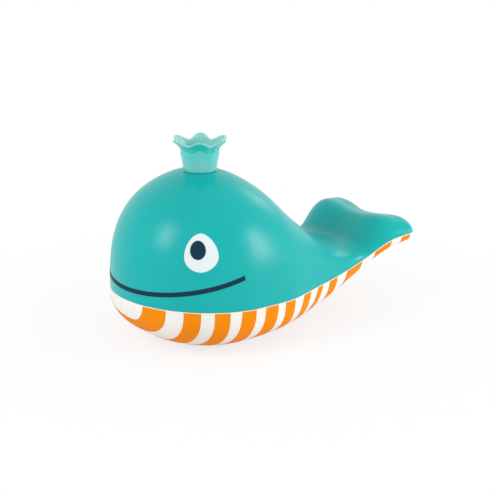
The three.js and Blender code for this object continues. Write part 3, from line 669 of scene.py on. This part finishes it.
crown = spin("crown_elastomer", [
    (THROAT_RADIUS, -PLUG_LENGTH), (PLUG_RADIUS - PLUG_EDGE, -PLUG_LENGTH),
    (PLUG_RADIUS, PLUG_EDGE - PLUG_LENGTH), (PLUG_RADIUS, RING_LEVEL - RING_ROOM),
    (RING_BED, RING_LEVEL - RING_ROOM), (RING_BED, RING_LEVEL + RING_ROOM),
    (PLUG_RADIUS, RING_LEVEL + RING_ROOM), (PLUG_RADIUS, 0.0),
    *bend((BASE_RADIUS - BASE_ROUND, 0.0), (BASE_RADIUS, 0.0), BASE_TOP, 3),
    *bend(BASE_TOP, CUP_OUTSIDE, LEDGE_UNDER, 12)[1:],
    *bend(LEDGE_UNDER, LEDGE_NOSE, FLARE_START, 5)[1:],
    *bend(FLARE_START, FLARE_OUTSIDE, RIM_OUTSIDE, 12)[1:],
    *bend(RIM_OUTSIDE, RIM_NOSE, RIM_INSIDE, 5)[1:],
    *bend(RIM_INSIDE, FLARE_INSIDE, CUP_WAIST, 12)[1:],
    *bend(CUP_WAIST, CUP_INSIDE, CUP_CORNER, 8)[1:],
    (BASE_RADIUS - CROWN_WALL - FLOOR_ROUND, CUP_FLOOR), (OUTLET_RADIUS + OUTLET_EDGE, CUP_FLOOR),
    (OUTLET_RADIUS, CUP_FLOOR - OUTLET_EDGE), (OUTLET_RADIUS, -THROAT_ROOF), (THROAT_RADIUS, -THROAT_ROOF),
], 216)
thickness = crown.data.attributes.new("thickness", "FLOAT", "POINT")  # how deep the tint is there
for vertex in crown.data.vertices:
    x, y, z = vertex.co / MM
    wave = math.cos(LOBES * (math.atan2(y, x) - CROWN_TURN))
    height = z - CROWN_BASE
    rim = clamp((height - LEDGE_HEIGHT) / (RIM_HEIGHT - LEDGE_HEIGHT))
    rise = ease(clamp((height - CUP_FLOOR) / (LEDGE_HEIGHT - CUP_FLOOR)))
    stretch = 1 + RIM_WAVE * rim * wave / math.hypot(x, y)
    aside = (x * LEAN_WAY[0] + y * LEAN_WAY[1]) * stretch
    lift = (LEDGE_RUFFLE * rise * (1 - rim) + RIM_RUFFLE * rim) * wave - CROWN_LEAN * rise * aside
    vertex.co = Vector((x * stretch, y * stretch, z + lift)) * MM
    wall = clamp((height - THICK_START) / (LEDGE_HEIGHT - THICK_START))
    wall *= clamp(1 - (height - LEDGE_HEIGHT) / THICK_FADE)
    tip = max(0.0, wave) * max(0.0, (rim - TIP_START) / (1 - TIP_START))
    thickness.data[vertex.index].value = WALL_TINT * wall + TIP_TINT * tip
smooth(crown, degrees=50)
elastomer, place = new_material("elastomer_clear_aqua")
# A clear-tinted thermoplastic rubber, with painted shade and painted light in its colour: faces that look
# down, such as the undersides of the lobes, are painted with the deep tint as shade, and faces that look
# straight up are painted paler as light. The thick wall below the ledge and the tips of the lobes keep the
# deep tint. Its skin has the soft ripple of a polished mould, 3 mm long.
ripple = node(elastomer, "TexNoise", {"Vector": place, "Scale": 1 / (3 * MM), "Detail": 1.0})
facing = node(elastomer, "SeparateXYZ", {
    "Vector": node(elastomer, "TexCoord", {}).outputs["Normal"],
})
# Painted shade: the further down a face looks, the more of the deep tint it gets
depth = node(elastomer, "MapRange", {
    "Value": facing.outputs["Z"], "From Min": 0.08, "From Max": -0.65, "To Min": 0.0, "To Max": 0.95,
})
thick = node(elastomer, "Attribute", {}, attribute_name="thickness")
# The painted shade, added to the deep tint of the thick places
painted_shade_and_thickness = node(elastomer, "Math", {0: depth.outputs["Result"], 1: thick.outputs["Fac"]}, operation="ADD")
# Painted light: faces that look straight up are painted paler
clear = node(elastomer, "MapRange", {"Value": facing.outputs["Z"], "From Min": 0.75, "From Max": 0.95})
painted_top_light = node(elastomer, "MixRGB", {
    "Fac": clear.outputs["Result"], "Color1": linear("#80C5C0"), "Color2": linear("#C9EEEA"),
})
# The colour, deepened by the painted shade and by the thick places
tint = node(elastomer, "MixRGB", {
    "Fac": painted_shade_and_thickness.outputs[0], "Color1": painted_top_light.outputs["Color"], "Color2": linear("#35C6C0"),
})
swell = node(elastomer, "Bump", {
    "Height": ripple.outputs["Fac"], "Strength": 0.2, "Distance": 0.05 * MM,
})
gel = node(elastomer, "BsdfPrincipled", {
    "Base Color": tint.outputs["Color"], "Roughness": 0.25, "IOR": 1.5, "Specular IOR Level": 0.3,
    "Normal": swell.outputs["Normal"],
})
node(elastomer, "OutputMaterial", {"Surface": gel.outputs["BSDF"]})
dress(crown, elastomer, "crown", "crown_aqua", "crown")

# Crown seal: a round silicone ring in the groove of the plug, which keeps the squeezed air from leaking
# past. It is moulded whole and rolled on over the end of the plug.
RING_RADIUS = 8.1
RING_CORD = 0.6
ring = spin("crown_seal_silicone", [
    (RING_RADIUS + RING_CORD * math.cos(turn), RING_LEVEL + RING_CORD * math.sin(turn))
    for turn in spread(0, 2 * math.pi, 16)[:-1]
], 96)
smooth(ring, degrees=60)
dress(ring, silicone, "crown", "silicone", "crown_seal")

# Foam meshes: two discs of woven polyester in the throat of the crown, which break the suds into foam.
# The upper one is what shows at the bottom of the crown's cup.
DISC_RADIUS = 6.1
DISC_THICKNESS = 0.6
DISC_EDGE = 0.15
HOOP_BORE = 4.8
NET_RADIUS = 5.75
THREAD_PITCH = 0.75  # wider than that of a real foam mesh, so that the threads show
THREAD = 0.22
SPACER_HEIGHT = 4.0
UPPER_DISC_TOP = -THROAT_ROOF - FIT
SPACER_TOP = UPPER_DISC_TOP - DISC_THICKNESS - FIT
LOWER_DISC_TOP = SPACER_TOP - SPACER_HEIGHT - FIT
gauze, place = new_material("polyester_gauze")
# Woven polyester is white and slightly silky, with threads of uneven brightness about 0.4 mm apart
fibres = node(gauze, "TexNoise", {"Vector": place, "Scale": 1 / (0.4 * MM), "Detail": 1.0})
silk = node(gauze, "MixRGB", {
    "Fac": fibres.outputs["Fac"], "Color1": linear("#E6ECEE"), "Color2": linear("#D3DCDF"),
})
cloth = node(gauze, "BsdfPrincipled", {"Base Color": silk.outputs["Color"], "Roughness": 0.6, "IOR": 1.57})
node(gauze, "OutputMaterial", {"Surface": cloth.outputs["BSDF"]})


def foam_mesh(name, top):
    """A round net of threads with its hoop, its top at a height above the crown's base."""
    count = 2 * math.ceil(DISC_RADIUS / THREAD_PITCH)
    side = count * THREAD_PITCH * MM
    bpy.ops.object.select_all(action="DESELECT")
    bpy.ops.mesh.primitive_grid_add(x_subdivisions=count, y_subdivisions=count, size=side)
    net = bpy.context.object
    net.name = net.data.name = name
    edit(net)
    bpy.ops.mesh.select_all(action="DESELECT")
    bpy.ops.object.mode_set(mode="OBJECT")
    for face in net.data.polygons:
        reach = max(net.data.vertices[i].co.length for i in face.vertices)
        face.select = reach > NET_RADIUS * MM
    bpy.ops.object.mode_set(mode="EDIT")
    bpy.ops.mesh.select_mode(type="FACE")
    bpy.ops.mesh.delete(type="FACE")
    bpy.ops.mesh.select_mode(type="VERT")
    bpy.ops.mesh.select_all(action="SELECT")
    bpy.ops.transform.translate(value=(0, 0, (CROWN_BASE + top - DISC_THICKNESS / 2) * MM))
    bpy.ops.object.mode_set(mode="OBJECT")
    threads = net.modifiers.new("Threads", "WIREFRAME")
    threads.thickness = THREAD * MM
    threads.use_even_offset = False
    bpy.ops.object.modifier_apply(modifier=threads.name)
    foot = top - DISC_THICKNESS
    hoop = spin("hoop", [
        (HOOP_BORE, foot), (DISC_RADIUS - DISC_EDGE, foot), (DISC_RADIUS, foot + DISC_EDGE),
        (DISC_RADIUS, top - DISC_EDGE), (DISC_RADIUS - DISC_EDGE, top), (HOOP_BORE, top),
    ], 64)
    pick(net)
    hoop.select_set(True)
    bpy.ops.object.join()
    smooth(net, degrees=40)
    return net


dress(foam_mesh("upper_mesh_gauze", UPPER_DISC_TOP), gauze, "crown", "gauze", "upper_mesh")
dress(foam_mesh("lower_mesh_gauze", LOWER_DISC_TOP), gauze, "crown", "gauze", "lower_mesh")

# Foam head: the spacer between the meshes, the mixing chamber that snaps into the plug with its air ports
# and ball cage, and the dip tube that hangs from it, cut at a slant at its foot. All are polypropylene.
polypropylene, place = new_material("polypropylene_natural")
# Natural polypropylene is a milky off-white that lets some light through, with faint flow marks 6 mm apart
flow = node(polypropylene, "TexNoise", {"Vector": place, "Scale": 1 / (6 * MM), "Detail": 2.0})
milk = node(polypropylene, "MixRGB", {
    "Fac": flow.outputs["Fac"], "Color1": linear("#F3F3EF"), "Color2": linear("#E9EAE6"),
})
plastic = node(polypropylene, "BsdfPrincipled", {
    "Base Color": milk.outputs["Color"], "Roughness": 0.38, "IOR": 1.49,
    "Subsurface Weight": 0.2, "Subsurface Radius": (2 * MM, 2 * MM, 2 * MM), "Subsurface Scale": 1.0,
})
node(polypropylene, "OutputMaterial", {"Surface": plastic.outputs["BSDF"]})

SPACER_BORE = 5.2
SPACER_FOOT = SPACER_TOP - SPACER_HEIGHT
SPACER_EDGE = 0.2
spacer = spin("mesh_spacer_moulding", [
    (SPACER_BORE, SPACER_FOOT), (DISC_RADIUS - SPACER_EDGE, SPACER_FOOT),
    (DISC_RADIUS, SPACER_FOOT + SPACER_EDGE), (DISC_RADIUS, SPACER_TOP - SPACER_EDGE),
    (DISC_RADIUS - SPACER_EDGE, SPACER_TOP), (SPACER_BORE, SPACER_TOP),
], 96)
smooth(spacer, degrees=40)
dress(spacer, polypropylene, "crown", "moulding", "mesh_spacer")

WELL_RADIUS = 5.0
WELL_TOP = LOWER_DISC_TOP - DISC_THICKNESS - FIT
FLANGE_RADIUS = 8.3
FLANGE_TOP = -PLUG_LENGTH - FIT
FLANGE_THICKNESS = 2.0
FLANGE_FOOT = FLANGE_TOP - FLANGE_THICKNESS
FLANGE_EDGE = 0.3
PORT_RADIUS = 0.9
PORT_DROP = 2.4
PORT_LEVEL = FLANGE_FOOT - PORT_DROP
BALL_RADIUS = 2.4
BALL_SLACK = 0.8
BALL_LIFT = 2.0
BALL_HOLE = 1.7
BALL_REST = math.sqrt(BALL_RADIUS**2 - BALL_HOLE**2)  # from the hole that it sits in up to its middle
CAGE_BORE = BALL_RADIUS + BALL_SLACK
CAGE_TOP = PORT_LEVEL - 2 * PORT_RADIUS
CAGE_SEAT = CAGE_TOP - 2 * BALL_REST - BALL_LIFT - 2 * FIT
CAGE_WALL = 1.6
CAGE_EDGE = 0.5
TUBE_RADIUS = 3.0
SLEEVE_BORE = TUBE_RADIUS + FIT  # the sleeve under the cage holds the dip tube
SLEEVE_LENGTH = 6.0
SLEEVE_TOP = CAGE_SEAT - CAGE_WALL
SLEEVE_FOOT = SLEEVE_TOP - SLEEVE_LENGTH
CAGE_RADIUS = SLEEVE_BORE + CAGE_WALL
chamber = spin("mixing_chamber_moulding", [
    (WELL_RADIUS, WELL_TOP), (DISC_RADIUS, WELL_TOP), (DISC_RADIUS, FLANGE_TOP),
    (FLANGE_RADIUS - FLANGE_EDGE, FLANGE_TOP), (FLANGE_RADIUS, FLANGE_TOP - FLANGE_EDGE),
    (FLANGE_RADIUS, FLANGE_FOOT + FLANGE_EDGE), (FLANGE_RADIUS - FLANGE_EDGE, FLANGE_FOOT),
    (CAGE_RADIUS + FLANGE_EDGE, FLANGE_FOOT), (CAGE_RADIUS, FLANGE_FOOT - FLANGE_EDGE),
    (CAGE_RADIUS, SLEEVE_FOOT + CAGE_EDGE), (CAGE_RADIUS - CAGE_EDGE, SLEEVE_FOOT),
    (SLEEVE_BORE, SLEEVE_FOOT), (SLEEVE_BORE, SLEEVE_TOP), (BALL_HOLE, SLEEVE_TOP),
    (BALL_HOLE, CAGE_SEAT), (CAGE_BORE, CAGE_SEAT), (CAGE_BORE, CAGE_TOP), (BALL_HOLE, CAGE_TOP),
    (BALL_HOLE, FLANGE_TOP), (WELL_RADIUS, FLANGE_TOP + FLANGE_THICKNESS),
], 96)
for turn in (0, math.pi / 2):
    bpy.ops.object.select_all(action="DESELECT")
    bpy.ops.mesh.primitive_cylinder_add(
        vertices=32, radius=PORT_RADIUS * MM, depth=4 * CAGE_RADIUS * MM,
        location=(0, 0, (CROWN_BASE + PORT_LEVEL) * MM), rotation=(math.pi / 2, 0, turn + CROWN_TURN),
    )
    combine(chamber, bpy.context.object, "DIFFERENCE")
smooth(chamber, degrees=40)
dress(chamber, polypropylene, "crown", "moulding", "mixing_chamber")

TUBE_BORE = 2.0
TUBE_TOP = SLEEVE_TOP - FIT
TUBE_GAP = 3.0  # from the floor of the tub
TUBE_FOOT = FLOOR_THICKNESS + TUBE_GAP - CROWN_BASE
TUBE_SLANT = math.tan(math.radians(20))
FOOT_EDGE = 0.1
LEAD_IN = 0.3  # the top tapers, to find its way into the sleeve
LEAD_TAPER = 0.2
straw = spin("dip_tube_moulding", [
    (TUBE_BORE, TUBE_FOOT), (TUBE_RADIUS - FOOT_EDGE, TUBE_FOOT), (TUBE_RADIUS, TUBE_FOOT + FOOT_EDGE),
    (TUBE_RADIUS, TUBE_TOP - LEAD_IN), (TUBE_RADIUS - LEAD_TAPER, TUBE_TOP), (TUBE_BORE, TUBE_TOP),
], 64)
for vertex in straw.data.vertices:
    x, y, z = vertex.co / MM
    if z - CROWN_BASE < TUBE_FOOT + 2 * FOOT_EDGE:
        ahead = x * math.cos(CROWN_TURN) + y * math.sin(CROWN_TURN)
        vertex.co.z += (ahead + TUBE_RADIUS) * TUBE_SLANT * MM
smooth(straw, degrees=40)
dress(straw, polypropylene, "crown", "moulding", "dip_tube")

# Valve ball: a small polished steel ball, free in the cage of the mixing chamber, which shuts the dip tube
# between squeezes. Its solid is kept as it is.
steel, place = new_material("ball_steel_polished")
# Bearing steel is bright, with hair-fine lapping marks that only soften its shine
lapping = node(steel, "TexNoise", {"Vector": place, "Scale": 1 / (0.5 * MM), "Detail": 1.0})
shine = node(steel, "MapRange", {"Value": lapping.outputs["Fac"], "To Min": 0.16, "To Max": 0.24})
metal = node(steel, "BsdfPrincipled", {
    "Base Color": linear("#C4C7CA"), "Metallic": 1.0, "Roughness": shine.outputs["Result"],
})
node(steel, "OutputMaterial", {"Surface": metal.outputs["BSDF"]})
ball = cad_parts["valve_ball"]
ball.data.materials.clear()
ball.data.materials.append(steel)

# Studio, with its sizes in metres: a sheet of white paper for a floor, in a white surround. A soft key comes
# from the nose's side, a fill from the right of the camera, and a weak rim from behind on the right.
PAPER_SIDE = 8.0
SHADOW_MIDDLE = (0.035, 0, 0)
SHADOW_CORE = 0.06  # the shadow is whole as far as this from its middle
SHADOW_END = 0.22  # and further off than this the paper is plain white
SHADOW_WHITE = 0.77  # share of plain white in the core
SURROUND_LIGHT = 0.66
TARGET = Vector((0.03426, -0.00116, 0.04614))  # what the lamps and the camera face


def seen_rays(material):
    """1 for a ray from the camera, off a shiny face or through a clear one, and 0 for one that lights."""
    rays = node(material, "LightPath", {}).outputs
    plain = node(material, "Math", {
        0: rays["Is Camera Ray"], 1: rays["Is Glossy Ray"],
    }, operation="MAXIMUM")
    seen = node(material, "Math", {
        0: plain.outputs[0], 1: rays["Is Transmission Ray"],
    }, operation="MAXIMUM")
    return seen.outputs[0]


bpy.ops.object.select_all(action="DESELECT")
bpy.ops.mesh.primitive_plane_add(size=PAPER_SIDE)
floor = bpy.context.object
floor.name = "floor"
paper, place = new_material("paper_sweep")
matt = node(paper, "BsdfDiffuse", {"Color": linear("#F4F4F4")})
glow = node(paper, "Emission", {"Color": (1, 1, 1, 1), "Strength": 1.0})
away = node(paper, "VectorMath", {0: place, 1: SHADOW_MIDDLE}, operation="DISTANCE")
clean = node(paper, "MapRange", {
    "Value": away.outputs["Value"], "From Min": SHADOW_CORE, "From Max": SHADOW_END,
    "To Min": SHADOW_WHITE, "To Max": 1.0,
})
share = node(paper, "Math", {0: seen_rays(paper), 1: clean.outputs["Result"]}, operation="MULTIPLY")
sheet = node(paper, "MixShader", {0: share.outputs[0], 1: matt.outputs[0], 2: glow.outputs[0]})
node(paper, "OutputMaterial", {"Surface": sheet.outputs[0]})
floor.data.materials.append(paper)

world = bpy.data.worlds.new("surround")
bpy.context.scene.world = world
world.use_nodes = True
world.node_tree.nodes.clear()
level = node(world, "MapRange", {"Value": seen_rays(world), "To Min": SURROUND_LIGHT, "To Max": 1.0})
surround = node(world, "Background", {"Color": (1, 1, 1, 1), "Strength": level.outputs["Result"]})
node(world, "OutputWorld", {"Surface": surround.outputs["Background"]})


def towards(azimuth, elevation):
    """The direction at an azimuth round the object, 0 at the front, and an elevation, in degrees."""
    a, e = math.radians(azimuth), math.radians(elevation)
    return Vector((math.sin(a) * math.cos(e), -math.cos(a) * math.cos(e), math.sin(e)))


def softbox(name, azimuth, elevation, width, height, watts):
    """An area lamp a metre off that faces the middle of the object."""
    way = towards(azimuth, elevation)
    bpy.ops.object.light_add(type="AREA", location=TARGET + way)
    lamp = bpy.context.object
    lamp.name = name
    lamp.data.shape = "RECTANGLE"
    lamp.data.size = width
    lamp.data.size_y = height
    lamp.data.energy = watts
    lamp.rotation_euler = (-way).to_track_quat("-Z", "Y").to_euler()


softbox("key", azimuth=-89, elevation=31, width=0.28, height=0.42, watts=3.8)
softbox("fill", azimuth=40, elevation=14, width=0.26, height=0.48, watts=5.0)
softbox("rim", azimuth=102, elevation=29, width=0.3, height=0.3, watts=0.8)

# Camera: a long lens about a metre off, to the left of the nose and a little above the whale. Its place and
# angle are fitted to the outline, the seam, the stripes and the face.
DISTANCE = 1.0534
LENS = 127.71
SENSOR = 36.0
back = towards(azimuth=-37.85, elevation=17.09)
bpy.ops.object.camera_add(location=TARGET + back * DISTANCE)
camera = bpy.context.object
camera.rotation_euler = (-back).to_track_quat("-Z", "Y").to_euler()
camera.data.lens = LENS
camera.data.sensor_width = SENSOR
camera.data.clip_start = 0.05
camera.data.clip_end = 50.0
bpy.context.scene.camera = camera
bpy.context.scene.view_settings.view_transform = "Standard"
